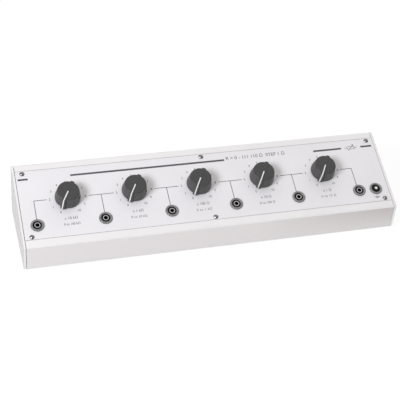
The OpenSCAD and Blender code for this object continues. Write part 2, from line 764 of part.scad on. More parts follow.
// Wires from each socket's blade to the first lug of its decade, and from the common lug to the next socket
module link_wires() {
    blade_z = contact_bottom - blade_l / 2;
    blade_x = blade_w / 2 + solder_gap;
    lug_z = housing_bottom - lug_l / 2;
    reach_r = lug_r + lug_w / 2 + solder_gap;
    slack = pitch / 5;
    color("firebrick") on_panel(0, 0) for (i = [1:DECADES]) {
        out = [-sin(first_angle), -cos(first_angle), 0];
        first = [knob_x(i), knob_t, lug_z] + reach_r * out;
        common = [knob_x(i), knob_t - reach_r, lug_z];
        from = [socket_x(i) + blade_x, socket_t, blade_z];
        to = [socket_x(i + 1) - blade_x, socket_t, blade_z];
        wire([from, from + [slack, 0, 0], first + slack * out, first], wire_r);
        wire([common, common - [0, slack, 0], to - [slack, 0, 0], to], wire_r);
    }
}

case_shell();
left_end_plate();
right_end_plate();
end_plate_screws();
rubber_feet();
front_panel();
panel_screws();
panel_nuts();
for (i = [1:SOCKETS]) socket_body(i);
for (i = [1:SOCKETS]) socket_contact(i);
socket_rings();
socket_nuts();
earth_body();
earth_pin();
earth_washer();
earth_nut();
for (i = [1:DECADES]) knob(i);
for (i = [1:DECADES]) knob_screw(i);
for (i = [1:DECADES]) switch_shaft(i);
for (i = [1:DECADES]) switch_rotor(i);
for (i = [1:DECADES]) switch_housing(i);
switch_washers();
switch_nuts();
switch_lugs();
for (i = [1:DECADES]) resistors(i);
link_wires();
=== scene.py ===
"""Looks of the decade resistance box: finishes, moulded knobs, printed panel and studio."""
import json
import math

import bmesh
import bpy
from bpy.props import FloatProperty, FloatVectorProperty, IntProperty, PointerProperty
from mathutils import Matrix, Vector


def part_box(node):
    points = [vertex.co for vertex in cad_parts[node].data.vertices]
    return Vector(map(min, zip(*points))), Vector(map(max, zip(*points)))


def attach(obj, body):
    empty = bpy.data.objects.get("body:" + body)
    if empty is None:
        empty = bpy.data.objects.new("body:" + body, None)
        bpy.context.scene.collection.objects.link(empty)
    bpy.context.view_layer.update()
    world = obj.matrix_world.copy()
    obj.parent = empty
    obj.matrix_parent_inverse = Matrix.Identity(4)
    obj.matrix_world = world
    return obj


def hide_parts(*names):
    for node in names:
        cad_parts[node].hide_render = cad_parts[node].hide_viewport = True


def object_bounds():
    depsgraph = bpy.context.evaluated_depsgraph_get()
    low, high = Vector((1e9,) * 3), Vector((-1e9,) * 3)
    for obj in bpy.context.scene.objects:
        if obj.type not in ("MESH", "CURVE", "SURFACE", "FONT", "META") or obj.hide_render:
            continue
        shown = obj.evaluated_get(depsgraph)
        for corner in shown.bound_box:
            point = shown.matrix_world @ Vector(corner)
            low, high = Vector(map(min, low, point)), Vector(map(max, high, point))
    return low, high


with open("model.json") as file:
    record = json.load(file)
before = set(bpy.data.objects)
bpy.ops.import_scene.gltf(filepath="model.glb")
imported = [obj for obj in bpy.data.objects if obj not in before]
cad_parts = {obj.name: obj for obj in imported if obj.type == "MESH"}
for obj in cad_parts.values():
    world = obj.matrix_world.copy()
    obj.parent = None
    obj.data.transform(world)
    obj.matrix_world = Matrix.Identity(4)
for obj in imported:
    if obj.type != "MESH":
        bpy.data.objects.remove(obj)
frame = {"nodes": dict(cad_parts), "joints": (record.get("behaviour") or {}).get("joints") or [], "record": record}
CAD_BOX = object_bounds()

bl_info = {
    "name": "Decade box looks",
    "version": (1, 0, 0),
    "blender": (4, 5, 0),
    "location": "View3D > Sidebar > Decade box",
    "description": "Finishes, moulded knobs, panel print and studio for the decade resistance box",
    "category": "Object",
}

MM = 0.001
DECADES = len(frame["joints"])
SOCKETS = DECADES + 1
RIGHT = Vector((1, 0, 0))
AWAY = Vector((0, 1, 0))
UPRIGHT = Vector((0, 0, 1))
SOCKET_MOUNTS = [m for m in frame["record"]["mounts"] if m["name"].startswith("socket_")]
NORMAL = Vector(SOCKET_MOUNTS[0]["axis"]).normalized()
UP = NORMAL.cross(RIGHT)
PANEL_POINTS = [v.co for v in frame["nodes"]["front_panel"].data.vertices]
PANEL_FACE = max(p.dot(NORMAL) for p in PANEL_POINTS)
PANEL_FOOT = min(p.dot(UP) for p in PANEL_POINTS)
PANEL_HEAD = max(p.dot(UP) for p in PANEL_POINTS)
PANEL = (Matrix.Translation(UP * PANEL_FOOT + NORMAL * PANEL_FACE)
         @ Matrix((RIGHT, UP, NORMAL)).transposed().to_4x4())


def on_panel(point):
    """A point of the row frame as x along the panel, t up from its lower edge and height over its face."""
    return PANEL.inverted() @ Vector(point)


KNOB_X = [on_panel(j["pos_m"]).x for j in frame["joints"]]
KNOB_T = on_panel(frame["joints"][0]["pos_m"]).y
SOCKET_X = [on_panel(m["pos_m"]).x for m in SOCKET_MOUNTS]
SOCKET_T = on_panel(SOCKET_MOUNTS[0]["pos_m"]).y
EARTH = on_panel((Vector(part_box("earth_pin")[0]) + Vector(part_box("earth_pin")[1])) / 2)

# Tolerance, facets, print, stage and finish depths that several pieces share
NEAR = 0.01 * MM
TURNED_SIDES, BORE_SIDES, HOLE_SIDES = 96, 64, 32
SMOOTH_ANGLE = math.radians(35)
CAPITAL_SHARE = 0.72
LETTER_STEPS = 4
FLOOR_SIZE = 12
SENSOR_WIDTH_MM = 36
CLIP_START, CLIP_END = 0.01, 30
TONE_EDGE = 0.2 * MM
FACE_DEPTH = 0.3 * MM
KNOB_TOP_DEPTH = 0.6 * MM
RIM_RISE = 0.55 * MM


def length(name, description, default_mm):
    """A length in the sidebar, given in millimetres."""
    return FloatProperty(name=name, description=description, default=default_mm * MM,
                         unit="LENGTH", precision=5)


def extent(name, description, start_mm, end_mm):
    """A stretch along the panel, given in millimetres from the panel's middle."""
    return FloatVectorProperty(name=name, description=description, default=(start_mm * MM, end_mm * MM),
                               size=2, unit="LENGTH", precision=5)


def colour(name, description, default):
    """A colour in the sidebar."""
    return FloatVectorProperty(name=name, description=description, default=default,
                               subtype="COLOR", min=0, max=1)


def vector(name, description, default, subtype):
    """A place or a direction in the sidebar."""
    return FloatVectorProperty(name=name, description=description, default=default,
                               subtype=subtype, precision=5)


def strength(name, description, default, unit="NONE"):
    """A strength of light in the sidebar."""
    return FloatProperty(name=name, description=description, default=default, unit=unit)


class KnobSizes(bpy.types.PropertyGroup):
    """Sizes of the moulded pointer knobs"""
    foot_gap: length("Foot gap", "Gap between knob and panel", 0.8)
    skirt_height: length("Skirt height", "Height of the straight skirt", 1.6)
    skirt_radius: length("Skirt radius", "Radius of the skirt", 12.3)
    top_radius: length("Top radius", "Radius of the top before its edge is rounded", 10.5)
    top_height: length("Top height", "Height of the top above the panel", 13.2)
    top_round: length("Top round", "Rounding of the top edge", 0.8)
    rib_foot_width: length("Rib foot width", "Width of the pointer rib at its foot", 4.6)
    rib_crest_width: length("Rib crest width", "Width of the pointer rib at its crest", 3.6)
    rib_height: length("Rib height", "Height of the rib's crest above the panel", 13.4)
    rib_back: length("Rib back", "Reach of the rib's back end from the axis", 11.4)
    rib_tip: length("Rib tip", "Reach of the pointer's tip from the axis", 14.4)
    tip_lean: length("Tip lean", "Lean of the pointer's front face", 2.0)
    tip_foot: length("Tip foot", "Height of the pointer's foot above the panel", 1.3)
    rib_round: length("Rib round", "Rounding of the rib's edges", 0.45)
    hollow_radius: length("Hollow radius", "Radius of the hollow under the knob", 9.0)
    hollow_height: length("Hollow height", "Height of the hollow's roof above the panel", 4.9)
    bore_radius: length("Bore radius", "Radius of the shaft bore", 3.05)
    bore_height: length("Bore height", "Height of the bore's end above the panel", 10.7)
    grub_radius: length("Grub hole radius", "Radius of the grub screw's hole", 1.55)
    grub_height: length("Grub hole height", "Height of the grub screw's axis above the panel", 7.8)
    line_width: length("Line width", "Width of the white pointer line", 1.05)
    line_proud: length("Line proud", "Height of the line's paint over the rib", 0.04)
    line_start: length("Line start", "Distance from the axis to the line's upper end", 0.6)
    line_foot: length("Line foot", "Height of the line's lower end above the panel", 1.9)
    line_depth: length("Line depth", "Depth of the line's paint in the rib", 0.25)


class PrintSizes(bpy.types.PropertyGroup):
    """Sizes of the panel's print"""
    ink: length("Ink", "Thickness of the ink film", 0.03)
    number_height: length("Number height", "Height of the dial numbers", 2.5)
    number_radius: length("Number radius", "Distance from the knob's axis to its numbers", 17.3)
    factor_height: length("Factor height", "Height of the factor under a dial", 2.8)
    factor_drop: length("Factor drop", "Distance from the knob's axis down to the factor", 22.1)
    span_height: length("Span height", "Height of the span under the factor", 2.5)
    span_width: length("Span width", "Width of the span under the factor", 15.5)
    span_drop: length("Span drop", "Distance from the knob's axis down to the span", 28.6)
    thin_width: length("Thin line width", "Width of the circuit lines", 0.6)
    thin_reach: length("Thin line reach", "Distance from the knob's axis to the circuit lines", 20.2)
    thin_end: length("Thin line end", "Distance from a socket's axis to its circuit line", 6.6)
    bar_width: length("Bar width", "Width of the long bar", 2.0)
    bar_drop: length("Bar drop", "Distance from the panel's upper edge to the long bar", 9.2)
    bar_ends: extent("Bar ends", "Where the long bar starts and ends", -183.2, 182.1)
    bare_gap: extent("Bare gap", "Gap of the long bar that stays bare", -173.6, -132.6)
    range_gap: extent("Range gap", "Gap of the long bar round the range", 22.9, 118.1)
    sign_gap: extent("Sign gap", "Gap of the long bar round the resistor sign", 148.6, 170.1)
    title_height: length("Range height", "Height of the range in the long bar", 3.8)
    title_width: length("Range width", "Width of the range in the long bar", 62)
    title_place: length("Range place", "Middle of the range along the panel", 56)
    title_rise: length("Range rise", "Height of the range's middle over the long bar", 1.6)
    sign_width: length("Sign line width", "Width of the signs' lines", 0.45)
    resistor_place: length("Resistor place", "Middle of the resistor sign along the panel", 159.2)
    resistor_length: length("Resistor length", "Length of the resistor sign's body", 7.6)
    resistor_height: length("Resistor height", "Height of the resistor sign's body", 3.0)
    resistor_lead: length("Resistor lead", "Distance from the sign's middle to a lead's end", 6.84)
    arrow_reach: length("Arrow reach", "Half the arrow's length along the panel", 3.42)
    arrow_rise: length("Arrow rise", "Half the arrow's length up the panel", 3.3)
    earth_drop: length("Earth drop", "Distance from the terminal's axis down to the earth sign", 9.2)
    earth_stem: length("Earth stem", "Length of the earth sign's stem", 1.3)
    earth_reach: length("Earth reach", "Half the length of the earth sign's first bar", 3.0)
    earth_step: length("Earth step", "Distance between the earth sign's bars", 0.8)
    earth_bars: IntProperty(name="Earth bars", description="Number of the earth sign's bars",
                            default=3, min=1)
    stretch: FloatProperty(name="Stretch", description="Length of the print against the row of sockets",
                           default=0.996)
    offset: length("Offset", "How far the print lies to the right of the row of sockets", -0.4)
    first_angle: FloatProperty(name="First angle", description="Angle of the number 0, left of straight down",
                               default=math.radians(30), subtype="ANGLE")
    steps: IntProperty(name="Steps", description="Number of steps from 0 to the last number",
                       default=10, min=1)


class Colours(bpy.types.PropertyGroup):
    """Colours of the finishes"""
    white_paint: colour("White paint", "Powder coat of the case", (0.835, 0.825, 0.83))
    # Painted shade: the front wall has the same white coat as the case; this greyer colour stands in for the
    # weaker light on the upright wall.
    front_paint: colour("Front paint", "Powder coat of the front wall", (0.758, 0.732, 0.733))
    # Painted shade: a still darker colour that stands in for the shade toward the front wall's upper right.
    corner_paint: colour("Corner paint", "Powder coat at the front wall's upper right", (0.591, 0.553, 0.54))
    # Painted shade: the end plates have the same white coat; this greyer colour on their outer faces stands in for
    # the shade on them.
    plate_paint: colour("Plate paint", "Powder coat of the end plates' outer faces", (0.575, 0.565, 0.565))
    panel_white: colour("Panel white", "Paint of the panel", (0.81, 0.80, 0.825))
    knob_black: colour("Knob black", "Plastic of the knobs on their tops", (0.046, 0.046, 0.047))
    # Painted light: the knobs' sides are the same plastic as their tops; this lighter colour stands in for the
    # light on the sides.
    knob_side: colour("Knob side", "Plastic of the knobs on their sides", (0.06, 0.06, 0.061))
    black_plastic: colour("Black plastic", "Plastic of the sockets and the terminal", (0.006, 0.006, 0.0065))
    ring_grey: colour("Ring grey", "Plastic of the rings round the sockets", (0.2, 0.2, 0.205))
    switch_black: colour("Switch black", "Moulding of the switch housings", (0.02, 0.02, 0.02))
    rotor_tan: colour("Rotor tan", "Laminate of the switch rotors", (0.42, 0.30, 0.14))
    rubber: colour("Rubber", "Rubber of the feet", (0.018, 0.018, 0.018))
    screw_plate: colour("Screw plate", "Plating of the panel screws", (0.34, 0.34, 0.345))
    nickel: colour("Nickel", "Plating of the contacts' rims", (0.52, 0.52, 0.53))
    bright_pin: colour("Bright pin", "Polished end of the earth pin", (0.9, 0.9, 0.89))
    zinc: colour("Zinc", "Plating of nuts, washers and inner screws", (0.58, 0.58, 0.57))
    brass: colour("Brass", "Metal of the switch lugs", (0.62, 0.45, 0.18))
    lacquer: colour("Lacquer", "Lacquer of the resistors", (0.16, 0.30, 0.42))
    wire_red: colour("Wire red", "Insulation of the wires", (0.42, 0.03, 0.03))
    ink: colour("Ink", "Ink of the panel's print", (0.085, 0.085, 0.09))
    line_white: colour("Line white", "Paint of the pointer lines", (0.82, 0.82, 0.80))
    floor: colour("Floor", "Floor of the studio", (0.14, 0.14, 0.14))


class Studio(bpy.types.PropertyGroup):
    """Light and camera"""
    camera_place: vector("Camera place", "Camera along the panel, up it and over it",
                         (-0.2758, -0.46908, 0.90185), "TRANSLATION")
    camera_axis: vector("Camera axis", "Direction in which the camera looks",
                        (0.24903, 0.72330, -0.64406), "DIRECTION")
    camera_right: vector("Camera right", "Direction to the right in the picture",
                         (0.96298, -0.25580, 0.08507), "DIRECTION")
    focal_length: FloatProperty(name="Focal length", description="Focal length in millimetres", default=97.82,
                                subtype="DISTANCE_CAMERA")
    key_power: strength("Key power", "Power of the key light", 24.5, "POWER")
    key_width: length("Key width", "Width of the key light", 600)
    key_depth: length("Key depth", "Depth of the key light", 600)
    key_place: vector("Key place", "Place of the key light", (-1.27, -0.93, 1.11), "TRANSLATION")
    key_aim: vector("Key aim", "Point that the key light faces", (0, 0, 0.03), "TRANSLATION")
    key_tint: colour("Key tint", "Colour of the key light", (0.965, 0.97, 1.0))
    fill_power: strength("Fill power", "Power of the fill light", 0.5, "POWER")
    fill_width: length("Fill width", "Width of the fill light", 600)
    fill_depth: length("Fill depth", "Depth of the fill light", 300)
    fill_place: vector("Fill place", "Place of the fill light", (0.3, 0.5, 0.42), "TRANSLATION")
    fill_aim: vector("Fill aim", "Point that the fill light faces", (0.1, 0.04, 0.06), "TRANSLATION")
    fill_tint: colour("Fill tint", "Colour of the fill light", (1.0, 1.0, 1.0))
    sky_axis: vector("Sky axis", "Direction in which the sky is brightest", (0.14, 0.28, 0.95), "DIRECTION")
    sky_bright: strength("Sky overhead", "Strength of the sky where it is brightest", 0.93)
    sky_dim: strength("Sky at the side", "Strength of the sky a right angle away", 0.0)
    sky_tint: colour("Sky tint", "Colour of the sky", (1.0, 0.98, 0.955))
    paper_glow: strength("Paper glow", "Light that the white paper gives by itself", 0.88)


def deselect():
    """Leaves edit mode with no object selected."""
    if bpy.context.object and bpy.context.object.mode != "OBJECT":
        bpy.ops.object.mode_set(mode="OBJECT")
    bpy.ops.object.select_all(action="DESELECT")


def only(obj):
    """Makes a piece the one selected and active object."""
    deselect()
    obj.select_set(True)
    bpy.context.view_layer.objects.active = obj
    return obj


def edit(obj, kind):
    """Opens a piece in edit mode with nothing selected."""
    only(obj)
    bpy.ops.object.mode_set(mode="EDIT")
    bpy.ops.mesh.select_mode(type=kind)
    bpy.ops.mesh.select_all(action="DESELECT")


def pick(obj, kind, test):
    """Selects the vertices, edges or faces whose middle and normal, or an edge's run, pass the test."""
    bpy.ops.mesh.select_all(action="DESELECT")
    mesh = bmesh.from_edit_mesh(obj.data)
    mesh.normal_update()
    items = {"VERT": mesh.verts, "EDGE": mesh.edges, "FACE": mesh.faces}[kind]
    count = 0
    for item in items:
        if kind == "FACE":
            middle, normal = item.calc_center_median(), item.normal
        elif kind == "EDGE":
            middle, normal = (item.verts[0].co + item.verts[1].co) / 2, item.verts[1].co - item.verts[0].co
        else:
            middle, normal = item.co, item.normal
        if test(middle, normal):
            item.select_set(True)
            count += 1
    if not count:
        raise RuntimeError(f"nothing selected on {obj.name}")
    mesh.select_flush(True)
    bmesh.update_edit_mesh(obj.data)


def apply_modifier(obj, kind, **settings):
    """Adds a modifier with its settings and applies it."""
    only(obj)
    modifier = obj.modifiers.new(kind.title(), kind)
    for name, value in settings.items():
        setattr(modifier, name, value)
    bpy.ops.object.modifier_apply(modifier=modifier.name)


def place(obj, matrix):
    """Moves a piece into place and puts the place into its mesh."""
    obj.matrix_world = matrix
    only(obj)
    bpy.ops.object.transform_apply(location=True, rotation=True, scale=True)
    return obj


def copy_of(obj):
    """A copy of a piece with a mesh of its own."""
    twin = obj.copy()
    twin.data = obj.data.copy()
    bpy.context.scene.collection.objects.link(twin)
    return twin


def dress(obj, name, body, finish):
    """Names a piece, gives it its finish and lets it ride on a body."""
    obj.name = obj.data.name = name
    obj.data.materials.clear()
    obj.data.materials.append(finish.material)
    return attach(obj, body)


class Value:
    """A shader socket that takes part in arithmetic; each sum or product adds its Math node."""

    def __init__(self, finish, socket):
        self.finish, self.socket = finish, socket

    def math(self, operation, first, second):
        """Adds a Math node and gives its result."""
        return self.finish.node("ShaderNodeMath", {"operation": operation}, {0: first, 1: second})[0]

    def __add__(self, other):
        return self.math("ADD", self, other)

    def __mul__(self, other):
        return self.math("MULTIPLY", self, other)


class Outputs:
    """The outputs of a node, by name or number."""

    def __init__(self, finish, node):
        self.finish, self.sockets = finish, node.outputs

    def __getitem__(self, key):
        return Value(self.finish, self.sockets[key])


class Finish:
    """A material with one Principled shader, made from a pattern on Object coordinates."""

    def __init__(self, name, **constants):
        self.material = bpy.data.materials.new(name)
        self.material.use_nodes = True
        self.tree = self.material.node_tree
        self.shader = self.tree.nodes["Principled BSDF"]
        for key, value in constants.items():
            self.feed(key.replace("_", " ").title().replace("Ior", "IOR"), value)
        self.where = self.node("ShaderNodeTexCoord")["Object"]

    def node(self, kind, settings=None, inputs=None):
        """Adds a node with its settings, and sets or links its inputs."""
        made = self.tree.nodes.new(kind)
        for key, value in (settings or {}).items():
            if key == "stops":
                ramp = made.color_ramp
                for k, (at, shade) in enumerate(value):
                    stop = ramp.elements[k] if k < 2 else ramp.elements.new(at)
                    stop.position, stop.color = at, (*shade, 1)
            else:
                setattr(made, key, value)
        for key, value in (inputs or {}).items():
            self.put(made.inputs[key], value)
        return Outputs(self, made)

    def put(self, socket, value):
        """Links a value to a socket, or sets the socket to a number or colour."""
        if isinstance(value, Value):
            self.tree.links.new(value.socket, socket)
        elif hasattr(value, "__len__") and len(value) == 3 and socket.type == "RGBA":
            socket.default_value = (*value, 1)
        else:
            socket.default_value = value

    def feed(self, name, value):
        """Sets or links an input of the shader."""
        self.put(self.shader.inputs[name], value)

    def noise(self, grain, detail=2.0, rough=0.5, where=None):
        """Noise whose blots are about one grain across, in metres."""
        return self.node("ShaderNodeTexNoise", None, {
            "Vector": where or self.where, "Scale": 1 / grain, "Detail": detail, "Roughness": rough})["Fac"]

    def stretched(self, x, y, z):
        """Object coordinates scaled along each axis."""
        return self.node("ShaderNodeVectorMath", {"operation": "MULTIPLY"},
                         {0: self.where, 1: (x, y, z)})["Vector"]

    def along(self, direction):
        """Distance along a direction of the row frame."""
        return self.node("ShaderNodeVectorMath", {"operation": "DOT_PRODUCT"},
                         {0: self.where, 1: tuple(direction)})["Value"]

    def mix(self, factor, first, second):
        """A colour that goes from the first to the second with a factor."""
        return self.node("ShaderNodeMix", {"data_type": "RGBA"}, {0: factor, 6: first, 7: second})[2]

    def step(self, value, low, high, first=0.0, last=1.0):
        """A clamped ramp from first to last while the value goes from low to high."""
        return self.node("ShaderNodeMapRange", {"clamp": True}, {
            "Value": value, "From Min": low, "From Max": high, "To Min": first, "To Max": last})["Result"]

    def wander(self, noise, first, last):
        """A number that wanders between two ends with a noise."""
        return self.step(noise, 0.3, 0.7, first, last)

    def bump(self, height, strength, distance):
        """Raises the surface with a height."""
        self.feed("Normal", self.node("ShaderNodeBump", None, {
            "Strength": strength, "Distance": distance, "Height": height})["Normal"])


def shade(base, factor):
    """A colour made lighter or darker by a factor."""
    return tuple(min(1.0, c * factor) for c in base)


def coat_finish(name, base, grain, roughness, peel):
    """Satin paint: a fine orange peel, faint clouding and slightly uneven gloss."""
    f = Finish(name, specular_ior_level=0.4)
    cloud = f.noise(45 * MM, 3, 0.55)
    speck = f.noise(grain, 2, 0.6)
    f.feed("Base Color", f.mix(f.step(cloud, 0.35, 0.65), shade(base, 0.985), shade(base, 1.01)))
    f.feed("Roughness", f.wander(speck, roughness - 0.05, roughness + 0.06))
    f.bump(speck * 0.7 + f.noise(grain * 0.35, 1, 0.5) * 0.3, peel, 0.05 * MM)
    return f


def toned(f, place, start, tone):
    """Takes a finish over to another tone where a place passes its start."""
    base = Value(f, f.shader.inputs["Base Color"].links[0].from_socket)
    f.feed("Base Color", f.mix(f.step(place, start, start + TONE_EDGE), base, tone))
    return f


def case_finish(base, face, corner):
    """Paint of the folded case, with painted shade: greyer on the front wall and darker still toward the wall's
    upper right.
    """
    f = coat_finish("white_powder_coat", base, grain=0.9 * MM, roughness=0.46, peel=0.16)
    # Painted shade: these masks darken the front wall toward its right end and its top.
    shade_rightward = f.step(f.along(RIGHT), 40 * MM, 180 * MM)
    shade_upward = f.step(f.along(UPRIGHT), 8 * MM, 28 * MM, 0.2, 1.0)
    front = -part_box("case_shell")[0][1]
    return toned(f, f.along(-AWAY), front - FACE_DEPTH, f.mix(shade_rightward * shade_upward, face, corner))


def plate_finish(base, face):
    """Paint of the end plates: white on the edges, with painted shade that makes the outer faces greyer."""
    f = coat_finish("plate_powder_coat", base, grain=0.9 * MM, roughness=0.46, peel=0.16)
    side = f.node("ShaderNodeMath", {"operation": "ABSOLUTE"}, {0: f.along(RIGHT)})[0]
    return toned(f, side, CAD_BOX[1][0] - FACE_DEPTH, face)


def plastic_finish(name, base, roughness, grain, relief, gloss=0.5):
    """Moulded plastic: fine spark-eroded grain, faint grey bloom on the matt spots."""
    f = Finish(name, specular_ior_level=gloss)
    fine = f.noise(grain, 3, 0.6)
    bloom = f.noise(6 * MM, 4, 0.6)
    f.feed("Base Color", f.mix(f.step(bloom, 0.4, 0.75), base, shade(base, 1.35)))
    f.feed("Roughness", f.step(fine + bloom * 0.4, 0.5, 0.9, roughness - 0.06, roughness + 0.08))
    f.bump(fine, relief, 0.04 * MM)
    return f


def knob_finish(top, side, height):
    """Moulded plastic of the knobs, with painted light: the grained sides are a lighter grey than the top,
    standing in for the light falling on them.
    """
    f = plastic_finish("knob_plastic", side, roughness=0.46, grain=0.25 * MM, relief=0.2)
    return toned(f, f.along(NORMAL), PANEL_FACE + height - KNOB_TOP_DEPTH, top)


def metal_finish(name, base, roughness, streak):
    """Plated or turned metal: fine streaks across the turning direction and a little tarnish."""
    f = Finish(name, metallic=1.0)
    lines = f.noise(0.4 * MM, 2, 0.5, f.stretched(*streak))
    tarnish = f.noise(3 * MM, 3, 0.6)
    f.feed("Base Color", f.mix(f.step(tarnish, 0.4, 0.8), base, shade(base, 0.82)))
    f.feed("Roughness", f.wander(lines, roughness - 0.06, roughness + 0.1))
    f.bump(lines, 0.15, 0.02 * MM)
    return f


def contact_finish(rim, bore):
    """Nickel plate, bright on the rims over the panel, with painted shade that makes it nearly black in the bores
    below.
    """
    f = metal_finish("nickel_plate", bore, roughness=0.26, streak=(1, 1, 8))
    return toned(f, f.along(NORMAL), PANEL_FACE + RIM_RISE, rim)


def resistor_finish(blue):
    """Lacquered resistors: blue bodies with colour bands across them."""
    f = Finish("resistor_lacquer", specular_ior_level=0.5)
    brown, black, red = (0.12, 0.05, 0.02), (0.02, 0.02, 0.02), (0.45, 0.04, 0.03)
    stops = [(0.0, blue), (1.0, blue), (0.22, brown), (0.30, black), (0.38, red), (0.46, blue)]
    heights = [v.co.dot(NORMAL) for v in frame["nodes"]["resistors_1"].data.vertices]
    along = f.step(f.along(NORMAL), min(heights), max(heights))
    tone = f.noise(1.5 * MM, 2, 0.5)
    body = f.mix(f.step(tone, 0.3, 0.7), blue, (0.20, 0.35, 0.48))
    bands = f.node("ShaderNodeValToRGB", {"stops": stops}, {"Fac": along})["Color"]
    f.feed("Base Color", f.mix(0.75, body, bands))
    f.feed("Roughness", f.wander(tone, 0.28, 0.4))
    return f


def wire_finish(red):
    """Insulation of the wires: smooth, with faint scuffing."""
    f = Finish("wire_insulation", specular_ior_level=0.5)
    scuff = f.noise(4 * MM, 4, 0.6)
    f.feed("Base Color", f.mix(f.step(scuff, 0.4, 0.8), red, (0.33, 0.025, 0.025)))
    f.feed("Roughness", f.wander(scuff, 0.35, 0.5))
    return f


def ink_finish(base):
    """Screen-print ink: dull, with faintly uneven cover."""
    f = Finish("panel_ink", specular_ior_level=0.3)
    cover = f.noise(0.6 * MM, 3, 0.6)
    f.feed("Base Color", f.mix(f.step(cover, 0.45, 0.8), base, shade(base, 1.6)))
    f.feed("Roughness", f.wander(cover, 0.5, 0.65))
    return f


def line_finish(base):
    """Filled-in line paint: white, a little worn and greyed at random."""
    f = Finish("pointer_paint", specular_ior_level=0.35)
    wear = f.noise(1.2 * MM, 4, 0.65)
    f.feed("Base Color", f.mix(f.step(wear, 0.55, 0.8), base, shade(base, 0.8)))
    f.feed("Roughness", f.wander(wear, 0.45, 0.6))
    f.bump(wear, 0.2, 0.03 * MM)
    return f


def paper_finish(base, glow):
    """White paper under the box, with faint clouding and a light of its own."""
    f = Finish("studio_paper", specular_ior_level=0.1, emission_color=(1, 1, 1), emission_strength=glow)
    grain = f.noise(60 * MM, 3, 0.5)
    f.feed("Base Color", f.mix(grain, shade(base, 0.995), shade(base, 1.005)))
    f.feed("Roughness", f.wander(grain, 0.85, 0.95))
    return f


FINISHES = {}
OWN_FINISH = {"left_end_plate": "plate_paint", "right_end_plate": "plate_paint", "earth_pin": "bright_pin"}


def finish_all(c, top_height):
    """Makes every finish once, under the record's slot names and the scene's own."""
    FINISHES.update({
        "white_paint": case_finish(c.white_paint, c.front_paint, c.corner_paint),
        "plate_paint": plate_finish(c.white_paint, c.plate_paint),
        "panel_white": coat_finish("panel_paint", c.panel_white, grain=0.5 * MM, roughness=0.42, peel=0.08),
        "pale_screw": metal_finish("screw_plate", c.screw_plate, roughness=0.24, streak=(1, 1, 4)),
        "ring_grey": plastic_finish("ring_plastic", c.ring_grey, roughness=0.38, grain=0.3 * MM, relief=0.06),
        "knob_black": knob_finish(c.knob_black, c.knob_side, top_height),
        "black_plastic": plastic_finish("socket_plastic", c.black_plastic, roughness=0.32, grain=0.3 * MM,
                                        relief=0.08, gloss=0.12),
        "switch_black": plastic_finish("switch_plastic", c.switch_black, roughness=0.5, grain=0.4 * MM,
                                       relief=0.2),
        "rotor_tan": plastic_finish("rotor_laminate", c.rotor_tan, roughness=0.5, grain=0.5 * MM, relief=0.2),
        "rubber": plastic_finish("foot_rubber", c.rubber, roughness=0.8, grain=0.35 * MM, relief=0.4),
        # Painted shade: the nickel in the bores is darkened to nearly black for the shade deep in the holes.
        "nickel": contact_finish(c.nickel, shade(c.nickel, 0.12)),
        "bright_pin": metal_finish("polished_pin", c.bright_pin, roughness=0.3, streak=(1, 1, 8)),
        "zinc": metal_finish("zinc_plate", c.zinc, roughness=0.36, streak=(1, 6, 1)),
        "brass": metal_finish("brass", c.brass, roughness=0.34, streak=(1, 1, 6)),
        "resistor_blue": resistor_finish(c.lacquer),
        "wire_red": wire_finish(c.wire_red),
        "ink": ink_finish(c.ink),
        "line_white": line_finish(c.line_white),
    })


class DECADEBOX_OT_finish_solids(bpy.types.Operator):
    """Give every solid of the box its finish"""
    bl_idname = "decadebox.finish_solids"
    bl_label = "Finish the solids"

    def execute(self, context):
        finish_all(context.scene.decadebox_colours, context.scene.decadebox_knob.top_height)
        for name, node in frame["nodes"].items():
            slots = [slot.material.name.split(".")[0] for slot in node.material_slots]
            for k, slot in enumerate(slots):
                if slot not in FINISHES:
                    raise RuntimeError(f"{name} has no finish for {slot}")
                node.material_slots[k].material = FINISHES[OWN_FINISH.get(name, slot)].material
        return {"FINISHED"}


def knob_round(s):
    """Skirt, tapered side and rounded top edge."""
    deselect()
    bpy.ops.mesh.primitive_cylinder_add(vertices=TURNED_SIDES, radius=s.skirt_radius, depth=s.skirt_height,
                                        location=(0, 0, s.foot_gap + s.skirt_height / 2))
    body = bpy.context.object
    bpy.ops.object.transform_apply()
    edit(body, "FACE")
    top = s.foot_gap + s.skirt_height
    pick(body, "FACE", lambda m, n: n.z > 0.9 and m.z > top - NEAR)
    bpy.ops.mesh.extrude_region_move(TRANSFORM_OT_translate={"value": (0, 0, s.top_height - top)})
    taper = s.top_radius / s.skirt_radius
    bpy.ops.transform.resize(value=(taper, taper, 1), center_override=(0, 0, s.top_height))
    bpy.ops.mesh.select_mode(type="EDGE")
    pick(body, "EDGE", lambda m, d: m.z > s.top_height - NEAR and m.xy.length > s.top_radius * 0.9)
    bpy.ops.mesh.bevel(offset=s.top_round, segments=6, affect="EDGES")
    pick(body, "EDGE", lambda m, d: m.z < s.foot_gap + NEAR and m.xy.length > s.skirt_radius * 0.9)
    bpy.ops.mesh.bevel(offset=s.rib_round / 2, segments=2, affect="EDGES")
    bpy.ops.object.mode_set(mode="OBJECT")
    return body


